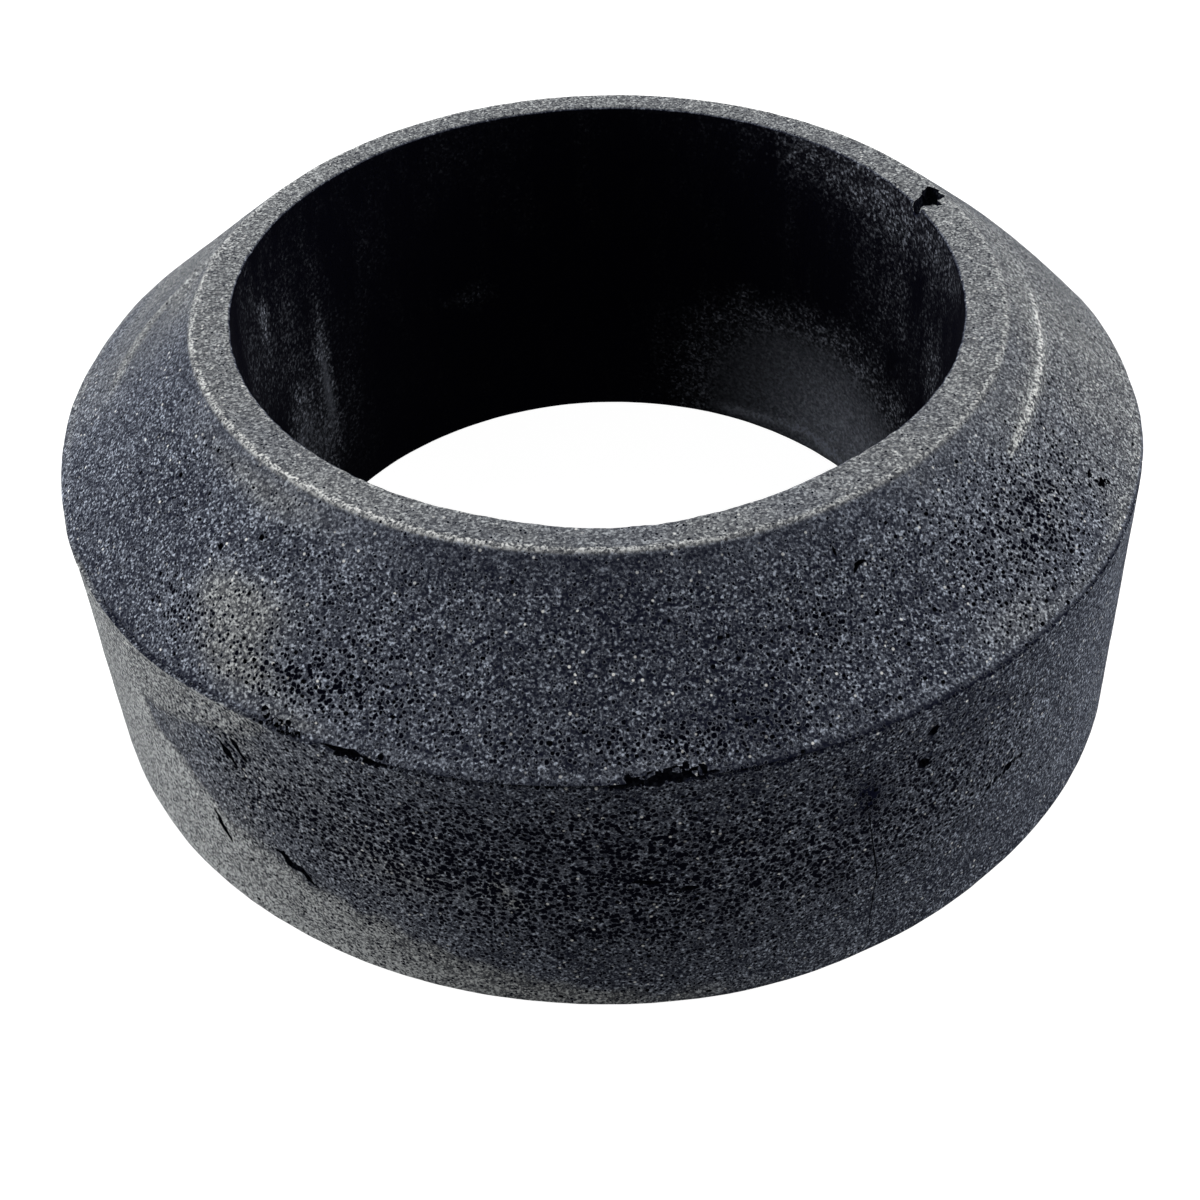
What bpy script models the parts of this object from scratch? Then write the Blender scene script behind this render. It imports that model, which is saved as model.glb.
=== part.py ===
"""A closet spud gasket: one ring of moulded sponge rubber that seals a cistern's outlet to the bowl.

It has a flat base, an upright wall, a bevel above the wall, and a narrow flat rim round the bore. The two
halves of the mould met at the foot of the bevel, a little out of line, which left a small step all round.
The moulding also left a notch in the rim and two tears in the parting line.

Lengths are in metres and angles in degrees. The origin is the centre of the base, and +Z is up.
"""

import math

import bmesh
import bpy
from mathutils import Matrix

# The ring
HEIGHT = 0.0337
BORE_DIAMETER = 0.0590
RIM_DIAMETER = 0.0645
PARTING_DIAMETER = 0.0889
PARTING_HEIGHT = 0.0236
BASE_DIAMETER = 0.0902

# The radius of each rounded edge
RIM_EDGE = 0.0004
BASE_EDGE = 0.0009
BORE_EDGE = 0.0004

# The lip inside the foot of the bore
LIP_HEIGHT = 0.0038
LIP_DEPTH = 0.0003

# How far the upper half of the mould stood off the axis, towards +X
MOULD_SHIFT = 0.0003

# The faces where the two halves join, inside the rubber: how far in they run, and how far each one leans
JOIN_REACH = 0.0060
JOIN_LEAN = 0.0015

# The notch where the rim meets the bore
NOTCH_ANGLE = 22.0
NOTCH_LENGTH = 0.0034
NOTCH_WIDTH = 0.0026
NOTCH_DEPTH = 0.0018
NOTCH_PAST_BORE = 0.0008

# The tears along the parting line
TEAR_HEIGHT = 0.0007
TEAR_DEPTH = 0.0010
FRONT_TEAR_ANGLE = -85.5
FRONT_TEAR_LENGTH = 0.0062
LEFT_TEAR_ANGLE = -113.5
LEFT_TEAR_LENGTH = 0.0044

# How finely round shapes are drawn
TURN_STEPS = 120
EDGE_STEPS = 3
FAULT_STEPS = 12
SHARP_ANGLE = 25.0

# Points of a turned shape that lie this close become one, which closes it at the axis
MERGE_DISTANCE = 0.00001

# How far the bore's core runs past the ring at each end
CORE_OVERRUN = 0.0020

# An egg starts as a ball one unit across, so that its scale is its size
UNIT_RADIUS = 0.5

RUBBER_COLOUR = (0.052, 0.058, 0.072, 1.0)
RUBBER_ROUGHNESS = 0.85


def clear_scene():
    """Take every object out of the scene."""
    for old in list(bpy.data.objects):
        bpy.data.objects.remove(old, do_unlink=True)


def new_collection(name):
    """Make a collection and put it in the scene."""
    made = bpy.data.collections.new(name)
    bpy.context.scene.collection.children.link(made)
    return made


def sponge_rubber():
    """Dark grey sponge rubber, dull and a little blue."""
    material = bpy.data.materials.new("sponge_rubber")
    material.use_nodes = True
    shader = material.node_tree.nodes["Principled BSDF"]
    shader.inputs["Base Color"].default_value = RUBBER_COLOUR
    shader.inputs["Roughness"].default_value = RUBBER_ROUGHNESS
    shader.inputs["Metallic"].default_value = 0.0
    return material


def rounded(before, corner, after, radius):
    """Points (x, z) of the arc that rounds a profile's corner, on a profile that turns clockwise there."""
    way_back = math.atan2(before[1] - corner[1], before[0] - corner[0])
    way_on = math.atan2(after[1] - corner[1], after[0] - corner[0])
    opening = (way_on - way_back) % (2 * math.pi)
    middle = way_back + opening / 2
    to_centre = radius / math.sin(opening / 2)
    centre_x = corner[0] + to_centre * math.cos(middle)
    centre_z = corner[1] + to_centre * math.sin(middle)
    first = way_back - math.pi / 2
    turn = math.pi - opening
    points = []
    for step in range(EDGE_STEPS + 1):
        angle = first - turn * step / EDGE_STEPS
        points.append((centre_x + radius * math.cos(angle), centre_z + radius * math.sin(angle)))
    return points


def turned(name, profile, home):
    """Turn a profile of points (x, z) about the upright axis, from the axis down its outer side and back."""
    mesh = bpy.data.meshes.new(name)
    edges = [(i, i + 1) for i in range(len(profile) - 1)]
    mesh.from_pydata([(x, 0.0, z) for x, z in profile], edges, [])
    made = bpy.data.objects.new(name, mesh)
    home.objects.link(made)
    screw = made.modifiers.new("turn", "SCREW")
    screw.axis = "Z"
    screw.steps = TURN_STEPS
    screw.render_steps = TURN_STEPS
    screw.use_merge_vertices = True
    screw.merge_threshold = MERGE_DISTANCE
    return made


def helper(made):
    """Mark an object that only shapes the gasket."""
    made.hide_render = True
    made.display_type = "WIRE"
    return made


def lower_half(home):
    """The wall and the base, with a top that reaches up into the bevel."""
    top = (PARTING_DIAMETER / 2, PARTING_HEIGHT)
    base = (BASE_DIAMETER / 2, 0.0)
    crown = (top[0] - JOIN_REACH, PARTING_HEIGHT + JOIN_LEAN)
    profile = [(0.0, crown[1]), crown, top]
    profile += rounded(top, base, (0.0, 0.0), BASE_EDGE)
    profile += [(0.0, 0.0)]
    return turned("spud_gasket", profile, home)


def upper_half(home):
    """The rim and the bevel, off the axis, with a plug under them that the lower half takes in."""
    rim = (RIM_DIAMETER / 2, HEIGHT)
    foot = (PARTING_DIAMETER / 2, PARTING_HEIGHT)
    plug = (foot[0] - JOIN_REACH, PARTING_HEIGHT - JOIN_LEAN)
    profile = [(0.0, HEIGHT)]
    profile += rounded((0.0, HEIGHT), rim, foot, RIM_EDGE)
    profile += [foot, plug, (0.0, plug[1])]
    half = helper(turned("upper_half", profile, home))
    half.location.x = MOULD_SHIFT
    return half


def bore_core(home):
    """The core that left the bore: a pin that flares at both ends, and tapers to the lip at its foot."""
    bore = BORE_DIAMETER / 2
    lip = bore - LIP_DEPTH
    flare = BORE_EDGE + CORE_OVERRUN
    profile = [
        (0.0, HEIGHT + CORE_OVERRUN),
        (bore + flare, HEIGHT + CORE_OVERRUN),
        (bore, HEIGHT - BORE_EDGE),
        (bore, LIP_HEIGHT),
        (lip, BORE_EDGE),
        (lip + flare, -CORE_OVERRUN),
        (0.0, -CORE_OVERRUN),
    ]
    return helper(turned("bore_core", profile, home))


def hollow(name, angle, distance, height, size, home):
    """An egg that leaves a hollow, size (outwards, along the ring, upright), at a bearing from +X."""
    mesh = bpy.data.meshes.new(name)
    egg = bmesh.new()
    bmesh.ops.create_uvsphere(
        egg,
        u_segments=FAULT_STEPS,
        v_segments=FAULT_STEPS // 2,
        radius=UNIT_RADIUS,
        matrix=Matrix.Diagonal((*size, 1.0)),
    )
    egg.to_mesh(mesh)
    egg.free()
    made = bpy.data.objects.new(name, mesh)
    home.objects.link(made)
    bearing = math.radians(angle)
    made.location = (distance * math.cos(bearing), distance * math.sin(bearing), height)
    made.rotation_euler.z = bearing
    return helper(made)


def rim_notch(home):
    """The notch in the rim, open to the bore."""
    distance = BORE_DIAMETER / 2 - NOTCH_PAST_BORE + NOTCH_LENGTH / 2
    size = (NOTCH_LENGTH, NOTCH_WIDTH, 2 * NOTCH_DEPTH)
    return hollow("rim_notch", NOTCH_ANGLE, distance, HEIGHT, size, home)


def parting_tear(name, angle, length, home):
    """A tear that follows the parting line."""
    size = (2 * TEAR_DEPTH, length, TEAR_HEIGHT)
    return hollow(name, angle, PARTING_DIAMETER / 2, PARTING_HEIGHT, size, home)


def combine(body, other, operation):
    """Join a helper to the body, or cut it away."""
    boolean = body.modifiers.new(f"{operation}_{other.name}".lower(), "BOOLEAN")
    boolean.operation = operation
    boolean.solver = "EXACT"
    boolean.object = other


def finish_shape(body):
    """Keep the combined shape as a plain mesh, smooth but for its sharp edges."""
    graph = bpy.context.evaluated_depsgraph_get()
    mesh = bpy.data.meshes.new_from_object(body.evaluated_get(graph))
    body.modifiers.clear()
    body.data = mesh
    mesh.name = body.name
    mesh.shade_smooth()
    mesh.set_sharp_from_angle(angle=math.radians(SHARP_ANGLE))


def build():
    """Make the gasket."""
    clear_scene()
    parts = new_collection("closet_spud_gasket")
    helpers = new_collection("shaping_helpers")
    gasket = lower_half(parts)
    combine(gasket, upper_half(helpers), "UNION")
    combine(gasket, bore_core(helpers), "DIFFERENCE")
    combine(gasket, rim_notch(helpers), "DIFFERENCE")
    front_tear = parting_tear("front_tear", FRONT_TEAR_ANGLE, FRONT_TEAR_LENGTH, helpers)
    left_tear = parting_tear("left_tear", LEFT_TEAR_ANGLE, LEFT_TEAR_LENGTH, helpers)
    combine(gasket, front_tear, "DIFFERENCE")
    combine(gasket, left_tear, "DIFFERENCE")
    finish_shape(gasket)
    gasket.data.materials.append(sponge_rubber())


build()
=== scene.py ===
# %% [markdown]
# # A closet spud gasket
# This thick ring of moulded sponge rubber seals the outlet under a cistern. It has a flat base, an upright
# wall, a bevel, and a flat rim round the bore. Its looks are all in its skin: a dull grey-black, full of
# tiny holes, with the faults of a cheap moulding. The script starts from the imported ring, which fixes the
# real size, and dresses it.

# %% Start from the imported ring
import math

import bmesh
import bpy
import numpy as np
from mathutils import Matrix, Vector, noise
from mathutils.bvhtree import BVHTree


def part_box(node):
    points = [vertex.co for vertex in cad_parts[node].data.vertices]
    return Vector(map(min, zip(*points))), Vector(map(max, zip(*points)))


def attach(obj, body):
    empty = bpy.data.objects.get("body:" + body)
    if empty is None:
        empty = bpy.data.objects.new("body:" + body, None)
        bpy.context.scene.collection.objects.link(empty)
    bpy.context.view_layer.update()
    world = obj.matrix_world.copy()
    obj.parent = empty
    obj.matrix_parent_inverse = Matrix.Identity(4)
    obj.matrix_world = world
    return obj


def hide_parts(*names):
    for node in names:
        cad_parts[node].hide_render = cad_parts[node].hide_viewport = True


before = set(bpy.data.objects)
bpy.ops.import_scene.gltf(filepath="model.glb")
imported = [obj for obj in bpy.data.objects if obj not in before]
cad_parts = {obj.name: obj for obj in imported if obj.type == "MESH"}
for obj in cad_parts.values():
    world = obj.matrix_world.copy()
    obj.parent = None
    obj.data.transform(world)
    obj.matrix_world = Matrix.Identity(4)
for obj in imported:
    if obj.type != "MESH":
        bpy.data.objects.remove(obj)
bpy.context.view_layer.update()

MM = 0.001
low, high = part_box("spud_gasket")
print("packed ring, in mm:", [round(side / MM, 2) for side in high - low])


# %% Put an object in the scene
def add_object(name, data):
    """Make an object of a mesh, a lamp or a camera, and put it in the scene."""
    made = bpy.data.objects.new(name, data)
    bpy.context.scene.collection.objects.link(made)
    return made


# %% [markdown]
# ## The camera
# The photograph looks down on the ring from close by, so that its near side looms. The camera comes first,
# because every later step is judged through it. Its place was fitted to the ring's circles.

# %% Camera
CAMERA_DISTANCE = 0.1638
CAMERA_ELEVATION = 43.0
CAMERA_ROLL = -1.98
CAMERA_AIM = Vector((-0.00065, 0.0, -0.001))
LENS = 52.5
FILM_WIDTH = 36.0

elevation = math.radians(CAMERA_ELEVATION)
camera_place = CAMERA_DISTANCE * Vector((0.0, -math.cos(elevation), math.sin(elevation)))
camera = add_object("camera", bpy.data.cameras.new("camera"))
camera.data.lens = LENS
camera.data.sensor_width = FILM_WIDTH
camera.data.clip_start = 0.01
looking = (CAMERA_AIM - camera_place).to_track_quat("-Z", "Y").to_matrix().to_4x4()
roll = Matrix.Rotation(math.radians(CAMERA_ROLL), 4, "Z")
camera.matrix_world = Matrix.Translation(camera_place) @ looking @ roll
bpy.context.scene.camera = camera
print("camera at", [round(side / MM) for side in camera_place], "mm")

# %% [markdown]
# ## The section
# A turned ring is drawn as its section, half of a cut through the middle. It is a closed loop: over the
# rim, down the bevel and the wall, in under the base, and up the bore. Points lie close together where
# the faults will be shaped, and further apart in the bore and under the base.

# %% Sizes of the section
HEIGHT = high.z
BASE_RADIUS = (high.y - low.y) / 2
BORE_RADIUS = 29.5 * MM
RIM_RADIUS = 32.25 * MM
PARTING_RADIUS = 44.45 * MM
PARTING_HEIGHT = 23.6 * MM
LIP_RADIUS = 29.2 * MM
LIP_HEIGHT = 3.8 * MM
RIM_EDGE = 0.45 * MM
BASE_EDGE = 0.35 * MM
BORE_EDGE = 0.35 * MM
PARTING_GAP = 0.17 * MM
SHOULDER_DROP = 2.5 * MM
SKIN_STEPS = 36
FLAT_STEPS = 6
LIP_STEPS = 12
BORE_STEPS = 14
SHOULDER_STEPS = 8

# Some of them again, in mm
TOP = HEIGHT / MM
PARTING = PARTING_HEIGHT / MM
BORE = BORE_RADIUS / MM
RIM = RIM_RADIUS / MM
LIP = LIP_RADIUS / MM


# %% Draw the section
def straight(start, end, steps):
    """Points from start towards end, without the end itself."""
    return [tuple(np.array(start) + (np.array(end) - start) * i / steps) for i in range(steps)]


def arc(before, corner, after, radius, steps=4):
    """Points of the arc that rounds a corner of the section."""
    before, corner, after = np.array(before), np.array(corner), np.array(after)
    back = (before - corner) / np.linalg.norm(before - corner)
    on = (after - corner) / np.linalg.norm(after - corner)
    half = math.acos(float(back @ on)) / 2
    reach = radius / math.tan(half)
    middle = corner + (back + on) / np.linalg.norm(back + on) * radius / math.sin(half)
    first, last = corner + back * reach, corner + on * reach
    points = []
    for i in range(steps + 1):
        spoke = (first - middle) * (1 - i / steps) + (last - middle) * i / steps
        points.append(tuple(middle + spoke / np.linalg.norm(spoke) * radius))
    return points


rim_in = (BORE_RADIUS, HEIGHT)
rim_out = (RIM_RADIUS, HEIGHT)
parting = (PARTING_RADIUS, PARTING_HEIGHT)
base_out = (BASE_RADIUS, 0.0)
base_in = (LIP_RADIUS, 0.0)
lip_top = (BORE_RADIUS, LIP_HEIGHT)

bore_edge = arc(lip_top, rim_in, rim_out, BORE_EDGE, 3)
rim_edge = arc(rim_in, rim_out, parting, RIM_EDGE)
foot = (PARTING_RADIUS, PARTING_HEIGHT + PARTING_GAP)
brow = (PARTING_RADIUS, PARTING_HEIGHT - PARTING_GAP)
base_edge = arc(parting, base_out, base_in, BASE_EDGE)
lip_edge = arc(base_out, base_in, lip_top, BORE_EDGE, 3)
shoulder = (BORE_RADIUS, HEIGHT - SHOULDER_DROP)
section = bore_edge + straight(bore_edge[-1], rim_edge[0], FLAT_STEPS)[1:]
section += rim_edge + straight(rim_edge[-1], foot, SKIN_STEPS)[1:]
section += [foot, parting, brow]
section += straight(brow, base_edge[0], SKIN_STEPS)[1:]
section += base_edge + straight(base_edge[-1], lip_edge[0], FLAT_STEPS)[1:]
section += lip_edge + straight(lip_edge[-1], lip_top, LIP_STEPS)[1:]
section += straight(lip_top, shoulder, BORE_STEPS)
section += straight(shoulder, bore_edge[0], SHOULDER_STEPS)
print("points in the section:", len(section))


# %% [markdown]
# ## Turning the section
# The Screw modifier is Blender's lathe. Here Geometry Nodes do its work: a circle is the path, the section
# is the profile, and Curve to Mesh sweeps one along the other. Both are closed, so the ring has no seam.

# %% Helpers for node trees
def node(tree, kind, inputs=None, **settings):
    """Add a node. Inputs are given by name or number, as a value or as the socket that feeds them."""
    made = tree.nodes.new(kind)
    for name, value in settings.items():
        setattr(made, name, value)
    for key, value in (inputs or {}).items():
        if isinstance(value, bpy.types.NodeSocket):
            tree.links.new(value, made.inputs[key])
        else:
            made.inputs[key].default_value = value
    return made


def new_tree(name, kind, inputs, outputs):
    """Make a node group. A default tells its socket's type, and a type's name stands for no default."""
    tree = bpy.data.node_groups.new(name, kind)
    for way, sockets in (("INPUT", inputs), ("OUTPUT", outputs)):
        for label, default in sockets.items():
            socket_type = default if isinstance(default, str) else type(default).__name__.title()
            socket = tree.interface.new_socket(label, in_out=way, socket_type=f"NodeSocket{socket_type}")
            if not isinstance(default, str):
                socket.default_value = default
    return tree, tree.nodes.new("NodeGroupInput").outputs, tree.nodes.new("NodeGroupOutput").inputs


def realize(tree, geometry):
    """Turn instances into real geometry."""
    return node(tree, "GeometryNodeRealizeInstances", {"Geometry": geometry}).outputs["Geometry"]


def set_material(tree, geometry, material, selection=True):
    """Give the selected faces a material."""
    inputs = {"Geometry": geometry, "Selection": selection, "Material": material}
    return node(tree, "GeometryNodeSetMaterial", inputs).outputs["Geometry"]


def freeze(obj):
    """Keep the mesh that an object's modifiers make, and take the modifiers off."""
    graph = bpy.context.evaluated_depsgraph_get()
    obj.data = bpy.data.meshes.new_from_object(obj.evaluated_get(graph))
    obj.data.name = obj.name
    obj.modifiers.clear()
    return obj.data


def grow(obj, tree, values):
    """Run a Geometry Nodes tree on an object, with values for its named inputs, and keep the plain mesh."""
    modifier = obj.modifiers.new(tree.name, "NODES")
    modifier.node_group = tree
    for item in tree.interface.items_tree:
        if item.in_out == "INPUT" and item.name in values:
            modifier[item.identifier] = values[item.name]
    return freeze(obj)


# %% Turn the section
COLUMNS = 480
PATH_RADIUS = 37.0 * MM

outer_skin = bpy.data.materials.new("outer_skin")
bore_skin = bpy.data.materials.new("bore_skin")
torn_rubber = bpy.data.materials.new("torn_rubber")

values = {"Columns": COLUMNS, "Path Radius": PATH_RADIUS, "Skin": outer_skin}
turning, given, result = new_tree(
    "turned_ring", "GeometryNodeTree", {"Section": "Geometry", **values}, {"Ring": "Geometry"}
)
circle = {"Resolution": given["Columns"], "Radius": given["Path Radius"]}
path = node(turning, "GeometryNodeCurvePrimitiveCircle", circle)
profile = node(turning, "GeometryNodeMeshToCurve", {"Mesh": given["Section"]})
curves = {"Curve": path.outputs["Curve"], "Profile Curve": profile.outputs["Curve"]}
sweep = realize(turning, node(turning, "GeometryNodeCurveToMesh", curves).outputs["Mesh"])
turning.links.new(set_material(turning, sweep, given["Skin"]), result["Ring"])

loop = bpy.data.meshes.new("section")
loop_points = [(r - PATH_RADIUS, -z, 0.0) for r, z in section]
loop_edges = [(i, (i + 1) % len(section)) for i in range(len(section))]
loop.from_pydata(loop_points, loop_edges, [])
gasket = add_object("gasket_rubber", loop)
ring = grow(gasket, turning, values)
print("turned ring:", len(ring.vertices), "points,", len(ring.polygons), "faces")

# %% [markdown]
# ## Places on the ring
# Every fault has an address: its bearing round the ring, and its height. The bearing is 0 at the right,
# -90 at the front and 180 at the left. A fault then stays on the skin if the ring's sizes change.


# %% Addresses on the skin
def skin_radius(height):
    """How far the outer skin is from the axis at a height."""
    heights = [0.0, PARTING_HEIGHT, HEIGHT]
    return np.interp(height, heights, [BASE_RADIUS, PARTING_RADIUS, RIM_RADIUS])


def at_bearing(bearing, distance, z):
    """The point at a bearing in degrees, a distance from the axis and a height."""
    turn = math.radians(bearing)
    return Vector((distance * math.cos(turn), distance * math.sin(turn), z))


def on_skin(bearing, height):
    """The point of the wall or bevel at a bearing in degrees and a height in mm."""
    return at_bearing(bearing, float(skin_radius(height * MM)), height * MM)


def skin_out(bearing, height):
    """The way out of the rubber there."""
    lean = 0.0
    if height > PARTING:
        lean = math.atan2(RIM_RADIUS - PARTING_RADIUS, HEIGHT - PARTING_HEIGHT)
    return at_bearing(bearing, math.cos(lean), -math.sin(lean))


def wrapped(degrees):
    """The same bearing, between -180 and 180."""
    return (degrees + 180.0) % 360.0 - 180.0


def share(value, start, end):
    """0 at the start, 1 at the end, and held outside them."""
    return np.clip((value - start) / (end - start), 0, 1)


def patches(bearing, height, rows, radius=None):
    """A sum of soft spots (bearing, height, half length, half height, strength), by default on the skin."""
    if radius is None:
        radius = skin_radius(height * MM) / MM
    total = 0.0
    for spot_bearing, spot_height, length, rise, strength in rows:
        along = np.radians(wrapped(bearing - spot_bearing)) * radius / length
        up = (height - spot_height) / rise
        total = total + np.exp(-(along**2) - up**2) * strength
    return total


def window(bearing, start, end, fade=6.0):
    """1 between two bearings, fading to 0 outside them."""
    away = np.abs(wrapped(bearing - (start + end) / 2)) - (end - start) / 2
    level = share(away, fade, 0)
    return level**2 * (3 - 2 * level)


def addresses(mesh):
    """Bearing in degrees, distance from the axis in mm and height in mm of each point, with the points."""
    co = np.empty(len(mesh.vertices) * 3, np.float32)
    mesh.vertices.foreach_get("co", co)
    co = co.reshape(-1, 3).astype(float)
    bearing = np.degrees(np.arctan2(co[:, 1], co[:, 0]))
    return co, bearing, np.hypot(co[:, 0], co[:, 1]) / MM, co[:, 2] / MM


def keep_number(mesh, name, values):
    """Store one number for each point, for nodes and materials to read by name."""
    attribute = mesh.attributes.get(name) or mesh.attributes.new(name, "FLOAT", "POINT")
    attribute.data.foreach_set("value", np.asarray(values, np.float32))


def kept_number(mesh, name):
    """The number stored on each point."""
    values = np.empty(len(mesh.vertices), np.float32)
    mesh.attributes[name].data.foreach_get("value", values)
    return values.astype(float)


# What lies within this distance from the axis, in mm, is bore
BORE_LIMIT = BORE + 0.15

co, bearing, radius, height = addresses(ring)
outside = radius > BORE + BORE_EDGE / MM
keep_number(ring, "in_bore", radius < BORE_LIMIT)
print("points on the outer skin:", int(outside.sum()))

# %% [markdown]
# ## The true shape of the moulding
# No moulding is truly round. This one leans to the left, and its two halves met out of line: on the left
# the wall's brow stands out as a thin flash, and on the right the bevel overhangs the wall. The parting
# line wanders as well. All of this moves points that are already there, which suits a form that changes
# slowly. Sculpting by hand would look the same, but could not be read or changed later.


# %% Values that change round the ring
def around(bearing, values):
    """A value at each bearing, from a few given ones {bearing: value}."""
    stops = sorted(values)
    return np.interp(bearing, stops, [values[stop] for stop in stops], period=360)


# %% Push the ring out of round and let the parting line wander
RIM_OUT = {
    -180: 0.08, -168: 0.15, -156: -0.03, -138: -0.18, -120: -0.28, -96: -0.32, -60: -0.1, -48: 0,
    -24: 0.08, 0: 0.12, 60: 0.07, 106: -0.12, 140: -0.22,
}
BORE_OUT = {
    -168: -0.2, -156: -0.3, -144: -0.42, -130: -0.52, -110: -0.5, -104: -0.38, -98: -0.2, -92: 0, -83: 0,
    -77: -0.2, -71: -0.38, -66: -0.5, -58: -0.72, -50: -0.65, -36: -0.45, -24: -0.35, 0: -0.42,
    12: -0.28, 30: 0, 48: 0.15, 72: 0.35, 96: 0.25, 156: 0.1,
}
BORE_REACH = 9.0
BORE_RAGGED = 0.16
BORE_RAG_SIZE = 0.8
BORE_RAG_FADE = 4.0
BEVEL_OUT = {
    -180: 0.1, -90: 0, -25: -0.1, -10: 0, 0: 0.12, 8: 0.32, 15: 0.42, 24: 0.22, 31: 0, 45: -0.1,
    90: -0.1, 165: 0.1,
}
WALL_OUT = {
    -180: 0.35, -160: 0.38, -130: 0.15, -90: 0, -40: -0.08, -22: 0, 0: -0.3, 40: -0.5, 90: -0.1,
    150: 0.1,
}
BASE_OUT = {
    -180: 0, -155: -0.2, -140: 0, -115: 0.15, -92: 0.32, -80: 0.45, -68: 0.32, -50: 0.15, -26: 0.3,
    0: 0.1, 90: 0,
}
WANDER = {
    -180: -0.4, -152: -1.1, -140: -0.8, -130: 0.1, -100: 0.1, -84: 0.5, -66: 0.8, -45: 0.8, -20: 0.2,
    0: -0.8, 20: -1, 60: -0.4,
}
WANDER_REACH = 5.0

out = np.stack([np.cos(np.radians(bearing)), np.sin(np.radians(bearing)), 0 * bearing], 1)
upper = outside & (height > PARTING + PARTING_GAP / 2 / MM)
up_the_wall = share(height, 0, PARTING)
up_the_bevel = share(height, PARTING, TOP)
across_rim = share(radius, BORE, RIM)
across_base = share(radius, LIP, BASE_RADIUS / MM)
bevel_push = around(bearing, BEVEL_OUT) * (1 - up_the_bevel)
bevel_push += around(bearing, RIM_OUT) * up_the_bevel * across_rim
wall_push = around(bearing, BASE_OUT) * (1 - up_the_wall) * across_base
wall_push += around(bearing, WALL_OUT) * up_the_wall
co += out * (np.where(upper, bevel_push, wall_push) * outside * MM)[:, None]
rag = np.array([noise.noise(Vector(p) / (BORE_RAG_SIZE * MM)) for p in co])
rag *= np.exp((height - TOP) * BORE_RAG_FADE)
bore_push = around(bearing, BORE_OUT) * share(height, TOP - BORE_REACH, TOP) + BORE_RAGGED * rag
bore_push *= (1 - across_rim) * (upper | ~outside) * (height > LIP_HEIGHT / MM)
co += out * (bore_push * MM)[:, None]
wander = around(bearing, WANDER)
near_parting = share(np.abs(height - PARTING), WANDER_REACH, 0)
co[:, 2] += wander * near_parting * outside * MM
print("parting line wanders", round(float(wander.min()), 2), "to", round(float(wander.max()), 2), "mm")

# %% Open the parting line
GROOVE_DEPTH = {
    -180: 0.05, -158: 0.2, -150: 0.45, -100: 0.5, -78: 0.4, -66: 0.2, -40: 0.35, 10: 0.3, 90: 0.1,
}
FLASH_OUT = 0.16
FLASH_HEIGHT = 0.9

in_groove = outside & (np.abs(height - PARTING) < PARTING_GAP / MM / 2)
co -= out * (around(bearing, GROOVE_DEPTH) * in_groove * MM)[:, None]
below = PARTING - height
brow_band = outside & (below > 0) & (below < FLASH_HEIGHT)
flash = window(bearing, -158, -130, 5) * (1 - below / FLASH_HEIGHT) * brow_band
co += out * (flash * FLASH_OUT * MM)[:, None]
print("points in the groove:", int(in_groove.sum()))

# %% [markdown]
# ## Humps, hollows and creases
# The bevel has broad humps and hollows, and two creases where the rubber folded as it filled the mould:
# one along the right of it, and a shorter one that climbs the left. Each is pushed out along the normal.

# %% Push the skin in and out
SWELLS = (
    (-133, 28, 6, 2.6, 0.45), (-112, 27.5, 7, 2.6, -0.22), (-62, 27.5, 9, 2.6, -0.25),
    (-35, 27, 8, 2.4, 0.22), (-148, 29.5, 6, 2.5, -0.25), (-88, 29, 9, 2.5, 0.12),
    (-100, 13, 12, 5, -0.22), (-60, 12, 10, 5, 0.18), (-125, 8, 9, 4, 0.2), (20, 26.5, 14, 2.5, 0.2),
    (28, 30.6, 12, 2.4, 0.1), (100, 27, 18, 2.5, 0.18), (150, 28, 12, 2.5, -0.15),
    (70, 12, 18, 6, -0.18), (160, 13, 14, 6, 0.18),
)
# Points (bearing, distance from the axis), width, ridge and step, all in mm but the bearings
CREASES = (
    (((2, 35.2), (-6.7, 35), (-13.4, 35.2), (-19.4, 35.3), (-26, 35.4), (-34, 35.7)), 0.4, 0.25, 0.35),
    (
        ((164, 31.6), (168.4, 32.6), (170.8, 33.6), (174, 36.2), (176.5, 37.5), (182.2, 39.1), (186.6, 40)),
        0.6,
        0.3,
        0.0,
    ),
)
STEP_FADE = (0.3, 1.5)
CRUMB_PLACE = (28.9, 30.0)
CRUMB_SIZE = 0.7
CRUMB_LIFT = 0.28


def along_crease(bearing, radius, points, width):
    """How high a crease stands at each point, and how much of it lies outside the point."""
    start, end = points[0][0], points[-1][0]
    low_end, high_end = min(start, end), max(start, end)
    here = (bearing - low_end) % 360.0 + low_end
    ordered = sorted(points)
    line = np.interp(here, *zip(*ordered))
    along = share(here, low_end, high_end)
    taper = np.where(here <= high_end, np.sin(np.pi * along) ** 0.7, 0.0)
    away = (radius - line) / width
    return taper * np.exp(-(away**2)), taper / (1 + np.exp(away * 2))


swell = patches(bearing, height, SWELLS)
on_bevel = upper & (radius > RIM)
for points, width, ridge, step in CREASES:
    crest, inner = along_crease(bearing, radius, points, width)
    swell += on_bevel * (crest * ridge + inner * step * share(radius - RIM, *STEP_FADE))
crumb_turn = math.radians(CRUMB_PLACE[0])
crumb = CRUMB_PLACE[1] * np.array([math.cos(crumb_turn), math.sin(crumb_turn)])
from_crumb = np.hypot(co[:, 0] / MM - crumb[0], co[:, 1] / MM - crumb[1]) / CRUMB_SIZE
swell += CRUMB_LIFT * np.exp(-(from_crumb**2)) * (height > TOP - 1)
print("skin moves", round(float(swell.min()), 2), "to", round(float(swell.max()), 2), "mm")

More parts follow.
